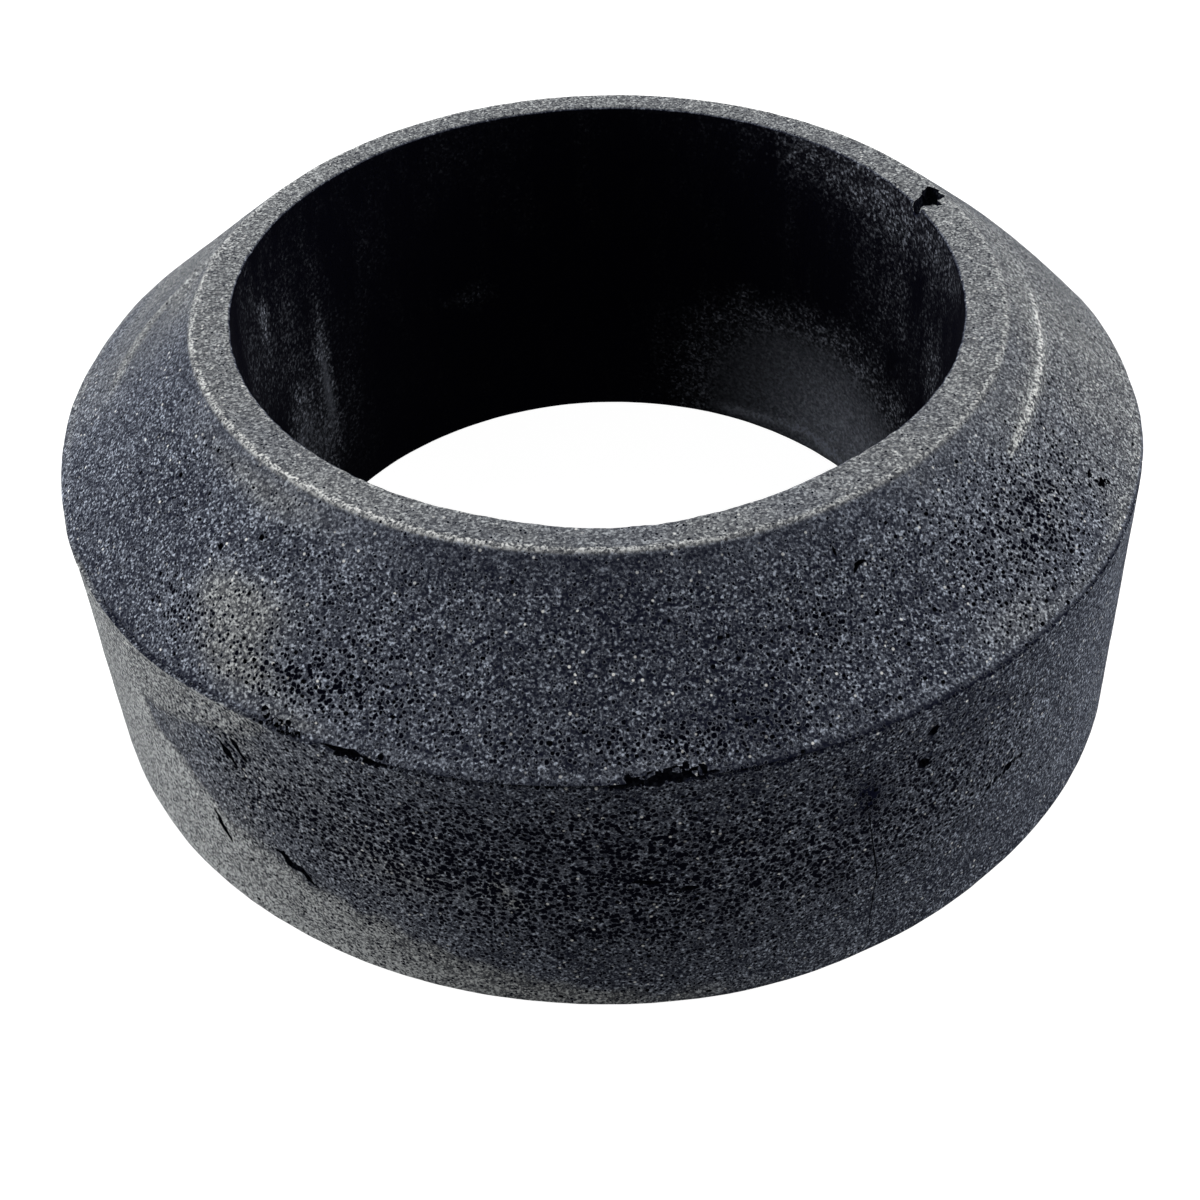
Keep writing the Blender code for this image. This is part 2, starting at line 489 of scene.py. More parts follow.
# %% Roughen the skin and set the points
ROUGHNESS = ((9.0, 0.055), (2.2, 0.030), (0.9, 0.014))
BORE_SHARE = 0.6
FLAT_BASE = 0.02

rough = np.zeros(len(co))
for size, depth in ROUGHNESS:
    scale = 1 / (size * MM)
    rough += depth * np.array([noise.noise(Vector(p) * scale) for p in co])
swell = (swell * outside + rough * np.where(outside, 1.0, BORE_SHARE)) * (height >= FLAT_BASE)
normals = np.empty(len(co) * 3, np.float32)
ring.vertices.foreach_get("normal", normals)
co += normals.reshape(-1, 3) * (swell * MM)[:, None]
co[:, 2] = np.clip(co[:, 2], 0.0, None)
ring.vertices.foreach_set("co", co.astype(np.float32).ravel())
ring.update()
print("shaped ring:", [round(float(side), 2) for side in (co.max(0) - co.min(0)) / MM], "mm")

# %% [markdown]
# ## Tears, cracks and voids
# Some faults are too deep and ragged to press into the skin: the notch, the tears, a seam, cracks and
# voids. Each is cut with a lumpy worm, a closed tube that follows a few addresses and thins out at both
# ends, or with a string of lumps. A Boolean takes it away, and its material, torn rubber, lines the cut.

# %% A worm that cuts a fault
WORM_SIDES = 8
WORM_STEP = 0.25 * MM
WORM_PROBE = 0.1 * MM
THIN_END = 0.12
BLUNT_SPAN = (0.2, 0.9)
RAGGED = 0.4
PER_MM = {"shake": 1.1, "wobble": 0.9, "rag": 1.6}


def torn_object(name, shape):
    """An object of torn rubber from a bmesh."""
    mesh = bpy.data.meshes.new(name)
    shape.to_mesh(mesh)
    shape.free()
    mesh.materials.append(torn_rubber)
    return add_object(name, mesh)


def worm(name, places, width, depth, seed, blunt=0.0):
    """A closed lumpy tube of a width and depth in mm, through pairs of a point and the way out there."""
    points, outs = zip(*places)
    lengths = [0.0]
    for a, b in zip(points, points[1:]):
        lengths.append(lengths[-1] + (b - a).length)

    def at(where, vectors):
        return Vector([np.interp(where, lengths, [v[k] for v in vectors]) for k in range(3)])

    def lump(kind, where, second, third):
        return noise.noise(Vector((where / MM * PER_MM[kind], second, third)))

    stations = max(5, int(lengths[-1] / WORM_STEP))
    rings = []
    for i in range(stations + 1):
        share_here = i / stations
        where = share_here * lengths[-1]
        out = at(where, outs).normalized()
        ahead = at(where + WORM_PROBE, points) - at(where - WORM_PROBE, points)
        side = ahead.cross(out).normalized()
        thick = THIN_END + blunt * (BLUNT_SPAN[0] < share_here < BLUNT_SPAN[1])
        taper = max(math.sin(math.pi * share_here) ** 0.6, thick)
        shake = 1 + RAGGED * lump("shake", where, seed, 0.0) * 2
        centre = at(where, points) + side * (width * 0.5 * MM * lump("wobble", where, 7.0, seed))
        here = []
        for k in range(WORM_SIDES):
            turn = 2 * math.pi * k / WORM_SIDES
            rag = 1 + RAGGED * lump("rag", where, k * 2.3, seed)
            across = side * (math.cos(turn) * width / 2 * taper * shake * rag)
            deep = out * (math.sin(turn) * depth * (0.4 + 0.6 * taper))
            here.append(centre + (across + deep) * MM)
        rings.append(here)
    made = bmesh.new()
    tip, tail = [made.verts.new(end[0].lerp(end[4], 0.5)) for end in (rings[0], rings[-1])]
    rows = [[made.verts.new(p) for p in here] for here in rings]
    for a, b in zip(rows, rows[1:]):
        for k in range(WORM_SIDES):
            made.faces.new((a[k], a[k - 1], b[k - 1], b[k]))
    for k in range(WORM_SIDES):
        made.faces.new((tip, rows[0][k - 1], rows[0][k]))
        made.faces.new((tail, rows[-1][k], rows[-1][k - 1]))
    bmesh.ops.recalc_face_normals(made, faces=made.faces)
    if made.calc_volume(signed=True) < 0:
        bmesh.ops.reverse_faces(made, faces=made.faces)
    return torn_object(name, made)


shaped = BVHTree.FromObject(gasket, bpy.context.evaluated_depsgraph_get())


def on_shaped_skin(bearing, height):
    """The point of the shaped ring nearest to an address on the wall or the bevel."""
    near = float(share(abs(height - PARTING), WANDER_REACH, 0))
    point = on_skin(bearing, height)
    point.z += float(around(bearing, WANDER)) * near * MM
    return shaped.find_nearest(point)[0]


def skin_cut(name, addresses_on_skin, width, depth, seed, blunt=0.0):
    """A worm along addresses (bearing, height in mm) on the wall or the bevel."""
    places = [(on_shaped_skin(*address), skin_out(*address)) for address in addresses_on_skin]
    return worm(name, places, width, depth, seed, blunt)


def rim_cut(name, spots, width, depth, seed, blunt=0.0):
    """A worm along spots (bearing, distance from the axis in mm) on the flat of the rim."""
    up = Vector((0.0, 0.0, 1.0))
    places = [(at_bearing(bearing, distance * MM, HEIGHT), up) for bearing, distance in spots]
    return worm(name, places, width, depth, seed, blunt)


# %% A string of voids
def voids(name, start, end, count, size, scatter, seed):
    """Lumpy balls strewn along a line between two addresses on the skin. Size and scatter are in mm."""
    random = np.random.default_rng(seed)
    made = bmesh.new()
    for i in range(count):
        along = (i + random.uniform(0.2, 0.8)) / count
        off_line = math.degrees(random.normal(0, scatter) * MM / PARTING_RADIUS)
        bearing = start[0] + (end[0] - start[0]) * along + off_line
        height = start[1] + (end[1] - start[1]) * along + random.normal(0, scatter)
        centre = on_shaped_skin(bearing, height)
        reach = size * random.uniform(0.6, 1.4) * MM
        for corner in bmesh.ops.create_icosphere(made, subdivisions=1, radius=1.0)["verts"]:
            lump = 1 + RAGGED * noise.noise(corner.co * 1.3 + Vector((seed + 3.7 * i, 0.5, 0.2)))
            corner.co = centre + corner.co * reach * lump
    return torn_object(name, made)


# %% Cut the faults
# A worm has addresses, width, depth, seed and bluntness; voids have two ends, count, size, scatter and seed
faults = [
    rim_cut("notch_neck", ((21.3, 28.2), (21.7, 29.4), (22.3, 30.4), (22.8, 31.4)), 1.5, 1.0, 3, 0.9),
    rim_cut("notch_head", ((20.0, 31.3), (21.6, 31.1), (23.6, 31.5), (25.6, 31.9)), 1.5, 1.5, 6, 0.5),
    skin_cut("front_tear", ((-90.3, PARTING - 0.1), (-86.0, PARTING), (-80.8, PARTING)), 0.7, 0.8, 11),
    voids("front_tear_roof", (-89.0, PARTING + 0.1), (-82.2, PARTING + 0.45), 16, 0.46, 0.12, 4),
    skin_cut(
        "left_tear", ((-116.4, PARTING + 0.1), (-112.6, PARTING + 0.05), (-109.8, PARTING)), 0.5, 0.7, 8
    ),
    voids("left_tear_voids", (-114.6, PARTING + 0.05), (-110.2, PARTING + 0.1), 14, 0.24, 0.1, 8),
    voids("void_chain", (-123.4, PARTING + 0.25), (-118.8, PARTING + 0.2), 17, 0.32, 0.2, 21),
    skin_cut("bevel_void_a", ((-61.9, 30.6), (-61.0, 31.0), (-59.9, 30.9)), 0.38, 0.6, 2),
    skin_cut("bevel_void_a_twin", ((-63.0, 32.1), (-62.9, 31.6)), 0.25, 0.5, 30),
    skin_cut("bevel_void_b", ((-25.4, 25.7), (-24.4, 26.1)), 0.75, 0.8, 9),
    skin_cut("bevel_void_b_tail", ((-26.2, 26.7), (-25.0, 26.9)), 0.4, 0.6, 10),
    skin_cut("bevel_void_c", ((-132.9, 30.7), (-132.3, 30.9)), 0.42, 0.5, 12),
    skin_cut("bevel_void_d", ((-137.2, 29.3), (-136.6, 29.5)), 0.45, 0.5, 13),
    voids("rim_pits", (-148.9, 32.3), (-146.0, 32.6), 4, 0.14, 0.03, 31),
    skin_cut("seam", ((-66.9, 18.5), (-65.3, 10.6), (-65.0, 9.4), (-65.4, 0.8)), 0.13, 0.3, 14),
    skin_cut("seam_branch", ((-59.0, 9.6), (-61.8, 9.0), (-65.2, 8.9)), 0.14, 0.3, 16),
    skin_cut("crack_a", ((-129.2, 19.3), (-127.0, 17.1)), 0.62, 0.8, 17, 0.6),
    skin_cut("crack_a_twin", ((-127.4, 20.1), (-125.6, 18.3)), 0.55, 0.8, 18, 0.6),
    skin_cut("crack_b", ((-132.3, 9.9), (-130.3, 7.1)), 0.65, 0.7, 19, 0.4),
    skin_cut("crack_c", ((-124.0, 9.9), (-121.4, 8.8), (-119.2, 7.5)), 0.7, 0.7, 20, 0.4),
    skin_cut("front_slit_a", ((-88.6, 14.0), (-85.8, 13.9)), 0.5, 0.5, 22, 0.5),
    skin_cut("front_slit_b", ((-84.3, 12.9), (-82.5, 13.0)), 0.5, 0.5, 24, 0.3),
    skin_cut("right_pit_a", ((-60.7, 21.3), (-59.3, 21.6)), 0.8, 0.6, 23, 0.6),
    skin_cut("right_pit_b", ((-61.4, 18.8), (-60.0, 19.0)), 0.8, 0.6, 25, 0.6),
    skin_cut("right_pit_c", ((-49.5, 12.5), (-48.2, 12.8)), 0.8, 0.6, 28, 0.6),
    voids("right_scar", (-53.5, 12.2), (-46.5, 12.7), 14, 0.24, 0.22, 26),
    voids("right_bevel_pits", (-26.0, 26.6), (-23.8, 25.4), 6, 0.3, 0.25, 27),
]
for fault in faults:
    bite = gasket.modifiers.new(fault.name, "BOOLEAN")
    bite.operation = "DIFFERENCE"
    bite.solver = "MANIFOLD"
    bite.material_mode = "TRANSFER"
    bite.object = fault
ring = freeze(gasket)
print("cut", len(faults), "faults; the ring now has", len(ring.polygons), "faces")
for fault in faults:
    bpy.data.meshes.remove(fault.data)

# %% [markdown]
# ## Where the rubber is open
# Sponge rubber is blown with gas. Where the skin was thin the cells broke open, so the pores gather in
# clusters. The map of that is a number on each point, read later by the nodes that scatter the pores and
# by the material.

# %% Map the pores
PORE_CLUSTERS = (
    (-137.5, 26.2, 3, 1.2, 0.6), (-120.5, 26, 7, 1, 0.6), (-38, 28.2, 9, 3, 0.7),
    (-68, 28.7, 5, 1.8, 0.4), (-83, 25.6, 9, 0.9, 0.4), (-116, 28.6, 9, 3, 0.3), (-90, 14, 19, 8.5, 1.1),
    (-112, 16, 10, 6, 0.4), (-128, 17, 6, 5, 0.4), (-58, 15, 12, 6.5, 0.45), (60, 27, 14, 3, 0.7),
    (140, 12, 16, 6, 0.7), (30, 10, 14, 5, 0.5),
)
HOLE_CLUSTERS = (
    (-138, 26.3, 2.6, 1, 4), (-134, 25.8, 1.8, 0.8, 3), (-126.5, 26.2, 2.6, 0.8, 4),
    (-120.5, 25.9, 3.6, 0.8, 3.6), (-114, 26.2, 3.6, 0.7, 2), (-37, 28.2, 8.5, 3, 3.4),
    (-68.5, 28.6, 4.5, 1.3, 1.8), (-83, 25.4, 8, 0.6, 1.6), (-66.6, 17.4, 0.8, 1.8, 5),
    (-148, 31, 4.5, 2, 0.5), (-90, 14.5, 15, 7, 0.8), (-122, 16, 8, 5, 0.7), (-54, 17, 8, 4, 0.5),
    (60, 27, 14, 3, 1.2), (140, 12, 12, 5, 0.8),
)
BASE_POROSITY = 0.3
RIM_POROSITY = 0.12
BASE_HOLES = 0.035
LOWEST_PORE = 0.6
RIM_FADE = (TOP - 2.2, TOP - 0.6)


def clusters(bearing, height, places, base, on_rim):
    """A value that is highest in a few places on the skin, and falls to one of its own on the rim."""
    rim = share(height, *RIM_FADE)
    return (base + patches(bearing, height, places)) * (1 - rim) + on_rim * rim


co, bearing, radius, height = addresses(ring)
outside = (radius > BORE + BORE_EDGE / MM) & (height > LOWEST_PORE)
porosity = clusters(bearing, height, PORE_CLUSTERS, BASE_POROSITY, RIM_POROSITY) * outside
holes = clusters(bearing, height, HOLE_CLUSTERS, BASE_HOLES, 0.0) * outside
keep_number(ring, "porosity", porosity)
keep_number(ring, "holes", holes)
print("porosity up to", round(float(porosity.max()), 2))
print("holes per square mm up to", round(float(holes.max()), 2))

# %% [markdown]
# ## Pores that are real holes
# The largest pores throw real shadows, so they are cut out of the mesh. Geometry Nodes scatter small lumpy
# balls over the skin, thickest where the map says, and a Mesh Boolean takes them away. A flag on the balls'
# faces survives the cut, and gives the holes the material of torn rubber. The Manifold solver does all
# the cuts at once. The countless smaller pores stay in the material.

# %% Scatter and cut the pores
LUMP_SCALE = 1.3
MID_GREY = (0.5, 0.5, 0.5)
STRETCH = ((0.75, 0.75, 0.9), (1.35, 1.1, 1.3))
BORE_SHARE_LIMIT = 0.6
values = {
    "Spacing": 0.5 * MM,
    "Density": 1 / MM**2,
    "Smallest": 0.12 * MM,
    "Largest": 0.22 * MM,
    "Seed": 7,
    "Bore Share": BORE_SHARE_LIMIT,
    "Outer Skin": outer_skin,
    "Bore Skin": bore_skin,
    "Torn Rubber": torn_rubber,
}
sponge, given, result = new_tree(
    "open_pores", "GeometryNodeTree", {"Ring": "Geometry", **values}, {"Ring": "Geometry"}
)


def stored(name, data_type="FLOAT"):
    """The values that the mesh stores under a name."""
    made = node(sponge, "GeometryNodeInputNamedAttribute", {"Name": name}, data_type=data_type)
    return made.outputs["Attribute"]


def random_value(low, high, data_type):
    """A random value for each ball, and its node's outputs."""
    first = 0 if data_type == "FLOAT_VECTOR" else 2
    inputs = {first: low, first + 1: high, "Seed": given["Seed"]}
    return node(sponge, "FunctionNodeRandomValue", inputs, data_type=data_type).outputs


scattering = {
    "Mesh": given["Ring"],
    "Distance Min": given["Spacing"],
    "Density Max": given["Density"],
    "Density Factor": stored("holes"),
    "Seed": given["Seed"],
}
spots = node(sponge, "GeometryNodeDistributePointsOnFaces", scattering, distribute_method="POISSON").outputs
ball = node(sponge, "GeometryNodeMeshIcoSphere", {"Radius": 1.0, "Subdivisions": 1}).outputs["Mesh"]
lumps = node(sponge, "ShaderNodeTexNoise", {"Scale": LUMP_SCALE, "Detail": 1.0}).outputs["Color"]
lump = node(sponge, "ShaderNodeVectorMath", {0: lumps, 1: MID_GREY}, operation="SUBTRACT").outputs["Vector"]
lumpy = node(sponge, "GeometryNodeSetPosition", {"Geometry": ball, "Offset": lump}).outputs["Geometry"]
size = random_value(given["Smallest"], given["Largest"], "FLOAT")[1]
stretch = random_value(*STRETCH, "FLOAT_VECTOR")[0]
scale = node(sponge, "ShaderNodeVectorMath", {0: stretch, "Scale": size}, operation="SCALE").outputs[0]
placing = {"Points": spots["Points"], "Instance": lumpy, "Rotation": spots["Rotation"], "Scale": scale}
balls = realize(sponge, node(sponge, "GeometryNodeInstanceOnPoints", placing).outputs["Instances"])
flag = {"Geometry": balls, "Name": "pore", "Value": True}
flagged = node(sponge, "GeometryNodeStoreNamedAttribute", flag, data_type="BOOLEAN", domain="FACE")
meshes = {"Mesh 1": given["Ring"], "Mesh 2": flagged.outputs["Geometry"]}
cut = node(sponge, "GeometryNodeMeshBoolean", meshes, operation="DIFFERENCE", solver="MANIFOLD")
limits = {0: stored("in_bore"), 1: given["Bore Share"]}
inside = node(sponge, "FunctionNodeCompare", limits, operation="GREATER_THAN").outputs[0]
skinned = node(sponge, "GeometryNodeMaterialSelection", {"Material": given["Outer Skin"]}).outputs[0]
bore_wall = node(sponge, "FunctionNodeBooleanMath", {0: inside, 1: skinned}, operation="AND").outputs[0]
whole = realize(sponge, cut.outputs["Mesh"])
moulded = set_material(sponge, whole, given["Bore Skin"], bore_wall)
lined = set_material(sponge, moulded, given["Torn Rubber"], stored("pore", "BOOLEAN"))
sponge.links.new(lined, result["Ring"])
ring = grow(gasket, sponge, values)
print("ring with pores:", len(ring.polygons), "faces", [m.name for m in ring.materials])

# %% [markdown]
# Two cuts that meet can leave a crumb between them, a closed speck that hangs in the air. The ring is one
# piece, so every small group of faces is a crumb. A walk across shared edges finds the groups.

# %% Take out the crumbs between the cuts
CRUMB_FACES = 100


def pieces_of(work):
    """The faces of each piece that hangs together."""
    work.faces.index_update()
    seen = [False] * len(work.faces)
    pieces = []
    for first in work.faces:
        if seen[first.index]:
            continue
        seen[first.index] = True
        piece = [first]
        for face in piece:
            for edge in face.edges:
                for beyond in edge.link_faces:
                    if not seen[beyond.index]:
                        seen[beyond.index] = True
                        piece.append(beyond)
        pieces.append(piece)
    return pieces


work = bmesh.new()
work.from_mesh(ring)
crumbs = [piece for piece in pieces_of(work) if len(piece) < CRUMB_FACES]
bmesh.ops.delete(work, geom=[face for piece in crumbs for face in piece], context="FACES")
work.to_mesh(ring)
work.free()
ring.calc_loop_triangles()
print("crumbs taken out:", len(crumbs), "leaving", len(ring.loop_triangles), "triangles")

# %% [markdown]
# ## Sharp where it was cut
# The skin is shaded smooth and the rims of the holes stay sharp. Blender decides by the angle between two
# faces, which is quick and needs no marking by hand.

# %% Shade the ring
SHARP_ANGLE = 38.0

ring.shade_smooth()
ring.set_sharp_from_angle(angle=math.radians(SHARP_ANGLE))
print("sharp edges:", sum(1 for a in ring.attributes["sharp_edge"].data if a.value))

# %% [markdown]
# ## Where the skin is pale
# New black rubber grows a grey bloom of dust and the mould's powder, thick on the rim and on the left of
# the wall, thin on the front. Painted light and shade are in the same map: the bevel and the wall are
# painted paler to the left and right, where the side lamps fall, and darker on the front, where shade
# falls. It is again a map of one number for each point, from 0, bare rubber, to 1, pale grey, and a little
# more in the palest dust. The material turns it into colour and adds the grain.

# %% Map the bloom
# Paleness by bearing round the bevel: bloom, and painted light, paler to the left and right and darker on
# the front
BEVEL_BLOOM_AND_SIDE_LIGHT = {
    -180: 0.56, -165: 0.3, -145: 0.26, -125: 0.29, -105: 0.22, -95: 0.18, -80: 0.13, -55: 0.24, -35: 0.5,
    0: 0.74, 60: 0.6, 120: 0.55, 160: 0.68,
}
# Paleness of the wall above the dust: bloom, and painted light, paler to the left and darker on the front
FOAM_BLOOM_AND_SIDE_LIGHT = {
    -180: 0.62, -150: 0.6, -138: 0.55, -125: 0.53, -110: 0.43, -90: 0.21, -66: 0.24, -50: 0.28,
    -30: 0.37, 0: 0.38, 90: 0.35,
}
# Paleness of the dust low on the wall, with painted light from the left in it
DUST_AND_SIDE_LIGHT = {
    -180: 0.95, -150: 1.25, -140: 1.5, -135: 1.5, -120: 1.3, -110: 1, -100: 0.65, -88: 0.42, -66: 0.28,
    -40: 0.3, 0: 0.34, 90: 0.4,
}
DUST_TOP = {
    -180: 21, -146: 21, -143: 19, -141: 14.5, -135.5: 12, -132: 9.5, -126: 8.3, -119: 7.2, -110: 5.1,
    -101: 3.4, -88: 1.8, -66: 2, 0: 4, 90: 8,
}
DUST_SOFT = 1.5
DUST_RAGGED = 1.6
DUST_SCALE = 2.4
BEVEL_SOFT = 0.15
# A pale band of painted light on the left, where the wall's brow stands out under the bevel and catches the
# lamps
LEDGE_PAINTED_LIGHT = 0.5
LEDGE_SOFT = 0.4
LEDGE_FOOT = {-150: 16, -140: 17, -136.7: 17.8, -130: 20.2, -124: 22, -118: 24}
RIM_BLOOM = {-180: 0.74, -135: 0.72, -90: 0.65, 0: 0.78, 90: 0.73, 160: 0.85}
RIM_SOFT = 0.3
INNER_EDGE_BLOOM = 0.15
INNER_EDGE_WIDTH = 0.25
BASE_BLOOM = 0.3
# Painted highlight along the crest of each crease
CREASE_HIGHLIGHT = (0.4, 0.5)
# Pale and dark spots of bloom and of painted light and shade: the lit and the shaded side of the hump on the
# left of the bevel, and a paler foot of the wall where little light reaches
BLOOM_AND_LIGHT_PATCHES = (
    (-131, 27.8, 4.5, 1.5, 0.72), (-139.5, 28.2, 2, 1.2, -0.22), (-128, 25.8, 3, 0.9, 0.42),
    (-32, 26.2, 4, 1.2, -0.1), (169, 25, 6, 1.2, -0.15), (-125, 25.2, 8, 1, 0.3),
    (-119.5, 24.3, 2.2, 0.5, 0.15), (-50, 25.8, 5, 0.8, 0.22), (-74, 32.4, 4, 0.6, 0.15),
    (-138, 32.6, 9, 1, 0.4), (-57, 33, 8, 0.6, 0.15), (-116, 0.5, 20, 2, 0.55), (-127, 7.5, 4, 2, 0.3),
    (-109.5, 12.8, 4, 2, 0.22), (-128, 20.5, 3, 1.2, 0.2), (-88, 0.8, 14, 1.8, 0.15),
    (173, 32, 3.5, 1, 0.22), (-57, 31.3, 3, 0.6, 0.2), (-12, 32, 16, 0.9, 0.12), (-86, 25, 6, 0.5, 0.14),
    (-100, 11.5, 4.5, 1.8, 0.14), (-100.6, 12.7, 0.7, 0.6, 0.7), (-99.2, 11.2, 0.6, 0.5, 0.6),
    (-66.5, 17.5, 1.5, 2.2, -0.2), (-50, 12.4, 5, 0.9, 0.16), (-132, 19, 5, 2, -0.12),
    (-62, 20.5, 10, 2.5, -0.1),
)
# Pale streaks and patches in the bore: drag streaks, and a painted pool of light low on the right, where the
# lamps reach too little
BORE_STREAKS_AND_LIGHT = (
    (150.5, 14, 0.7, 5, 0.13), (153.5, 8, 1.3, 3, 0.05), (152, 9, 6, 5, 0.015),
    (167, 26.5, 0.8, 1, 0.12), (166, 24, 11, 10, 0.012), (116, 15.5, 3, 1.2, 0.015),
    (60.6, 14.8, 1.5, 1.2, 0.02), (21, 24, 9, 9, 0.012), (37, 2.5, 11, 5, 0.52), (46, 9, 9, 4.5, 0.15),
    (28, 32.5, 14, 3, 0.03), (159, 11, 2.5, 4, 0.07), (10, 20.7, 2, 3, 0.02),
)
# A pale arc low in the bore, by bearing
BORE_ARC = {20: 0.0, 27: 0.3, 37: 1.1, 45.6: 1.9, 56.5: 1.4, 62: 1.2}
BORE_ARC_PALENESS = 0.4
BORE_ARC_WIDTH = 0.5
BORE_ARC_ENDS = (22.0, 60.0)


def bloom_map(bearing, radius, height, ragged, in_bore):
    """How grey the skin is, from bloom and dust and from painted light and shade: 0 where it is bare, 1
    where it is pale, and more in the palest dust.
    """
    on_bevel = share(height - around(bearing, WANDER), PARTING - BEVEL_SOFT, PARTING + BEVEL_SOFT)
    dust_edge = around(bearing, DUST_TOP) + DUST_RAGGED * ragged
    dusty = share(dust_edge - height, -DUST_SOFT / 2, DUST_SOFT / 2)
    wall = around(bearing, DUST_AND_SIDE_LIGHT) * dusty + around(bearing, FOAM_BLOOM_AND_SIDE_LIGHT) * (1 - dusty)
    # Painted light on the ledge at the left
    lit_ledge = share(height - around(bearing, LEDGE_FOOT), -LEDGE_SOFT, LEDGE_SOFT)
    lit_ledge *= window(bearing, -154, -125, 4)
    wall += LEDGE_PAINTED_LIGHT * lit_ledge * (1 - dusty)
    bloom_and_painted_light = around(bearing, BEVEL_BLOOM_AND_SIDE_LIGHT) * on_bevel + wall * (1 - on_bevel)
    bloom_and_painted_light += patches(bearing, height, BLOOM_AND_LIGHT_PATCHES)
    on_rim = share(RIM + around(bearing, RIM_OUT) - radius, -RIM_SOFT, 0)
    bloom_and_painted_light = bloom_and_painted_light * (1 - on_rim) + around(bearing, RIM_BLOOM) * on_rim
    from_edge = radius - BORE - 0.1 - around(bearing, BORE_OUT)
    bloom_and_painted_light += INNER_EDGE_BLOOM * np.exp(-((from_edge / INNER_EDGE_WIDTH) ** 2)) * window(bearing, 140, 250)
    from_arc = (height - around(bearing, BORE_ARC)) / BORE_ARC_WIDTH
    bore = patches(bearing, height, BORE_STREAKS_AND_LIGHT, BORE)
    bore += BORE_ARC_PALENESS * np.exp(-(from_arc**2)) * window(bearing, *BORE_ARC_ENDS, 8.0)
    bloom_and_painted_light = np.where(in_bore > BORE_SHARE_LIMIT, bore, bloom_and_painted_light)
    return np.clip(np.where((height < 0.05) & (radius > LIP + 0.5), BASE_BLOOM, bloom_and_painted_light), 0, None)


co, bearing, radius, height = addresses(ring)
ragged = np.array([noise.noise(Vector(p) / (DUST_SCALE * MM)) for p in co])
below_edge = (radius < BORE_LIMIT) & (height < TOP - 1.5 * BORE_EDGE / MM)
in_bore = np.maximum(kept_number(ring, "in_bore"), below_edge)
# The map holds bloom and dust together with painted light and shade
bloom_and_painted_light = bloom_map(bearing, radius, height, ragged, in_bore)
# Painted highlight along the crease crests
for (points, width, ridge, step), crest_highlight in zip(CREASES, CREASE_HIGHLIGHT):
    crest, inner = along_crease(bearing, radius, points, width)
    bloom_and_painted_light += crest_highlight * crest * (height > PARTING)
keep_number(ring, "bloom_and_painted_light", bloom_and_painted_light)
print("bloom from", round(float(bloom_and_painted_light.min()), 2), "to", round(float(bloom_and_painted_light.max()), 2))

# %% Where the grain is faint
CALM_PATCHES = (
    (172, 30.5, 11, 4.5, 0.6), (10, 28, 17, 2.6, 0.4), (-150, 12, 7, 9, 0.35), (35, 31.5, 9, 2.5, 0.4),
)
RIM_CALM = 0.3

calm = clusters(bearing, height, CALM_PATCHES, 0.0, RIM_CALM)
keep_number(ring, "calm", np.clip(calm, 0, 0.8))
print("calm up to", round(float(calm.max()), 2))

# %% [markdown]
# A few lines are finer than the mesh: a painted highlight with some wear along the rim's outer edge, a
# painted highlight on the crest of the crease on the right, painted shade in the gap along the parting line
# and a painted highlight on the lip beside it. A number at each point still draws them sharply, if it is
# the distance to the line in mm: it changes evenly, so it reads well between points.

# %% Distance to the fine lines
# Painted highlight along the rim's outer edge, with some wear in it, by bearing
RIM_EDGE_HIGHLIGHT_AND_WEAR = {
    -180: 0.6, -165: 0.9, -130: 1.1, -100: 0.8, -70: 0.35, -30: 0.3, 10: 0.35, 40: 0.3, 90: 0.3,
    140: 0.4,
}
# Painted highlight along the crest of the crease
CREASE_LINE_HIGHLIGHT = 1.5
# Painted shade in the gap along the parting line, under the overhang, by bearing
PARTING_SHADE_LINE = {
    -180: 0, -154: 0.3, -146: 0.9, -130: 0.85, -124: 0.5, -95: 0.5, -76: 0.8, -50: 0.9, -20: 0.9,
    -5: 0.3, 10: 0, 90: 0.3,
}
# Painted highlight on the lip of the bevel's foot, and on the ledge's brow at the left, by bearing
LIP_HIGHLIGHT = {
    -180: 0.2, -158: 0.5, -150: 0.9, -136: 0.9, -130: 0.3, -115: 0.35, -95: 0.4, -80: 0.25, -60: 0.3,
    -30: 0.3, -5: 0, 90: 0.1,
}
LEDGE_LIP = 0.3
BEVEL_LIP = -0.55

edge = RIM + around(bearing, RIM_OUT)
crease_points, crease_width = CREASES[0][:2]
ordered = sorted(crease_points)
crease = np.interp(bearing, *zip(*ordered))
crease_here = np.sin(np.pi * share(bearing, ordered[0][0], ordered[-1][0])) ** 0.5
near_crease = (crease_here > 0) & (radius > (edge + crease) / 2)
strength = np.where(near_crease, CREASE_LINE_HIGHLIGHT * crease_here, around(bearing, RIM_EDGE_HIGHLIGHT_AND_WEAR))
below = PARTING + around(bearing, WANDER) - height
lip = np.where(window(bearing, -160, -132) > 0.5, LEDGE_LIP, BEVEL_LIP)
skin = in_bore <= BORE_SHARE_LIMIT
keep_number(ring, "line_away", np.where(near_crease, crease - radius, radius - edge))
keep_number(ring, "line_here", strength * (height > PARTING))
keep_number(ring, "parting_shade_away", below)
keep_number(ring, "parting_shade_here", around(bearing, PARTING_SHADE_LINE) * skin)
keep_number(ring, "lip_away", below - lip)
keep_number(ring, "lip_here", around(bearing, LIP_HIGHLIGHT) * skin)
print("fine lines reach", int((strength > 0.1).sum()), "points")

# %% [markdown]
# ## Effects that the materials share
# Small cells, grain and a film of bloom and painted light are node groups, built once, so that each
# material can set them in its own way. They give out only masks and heights. The shader itself stays in
# the material.


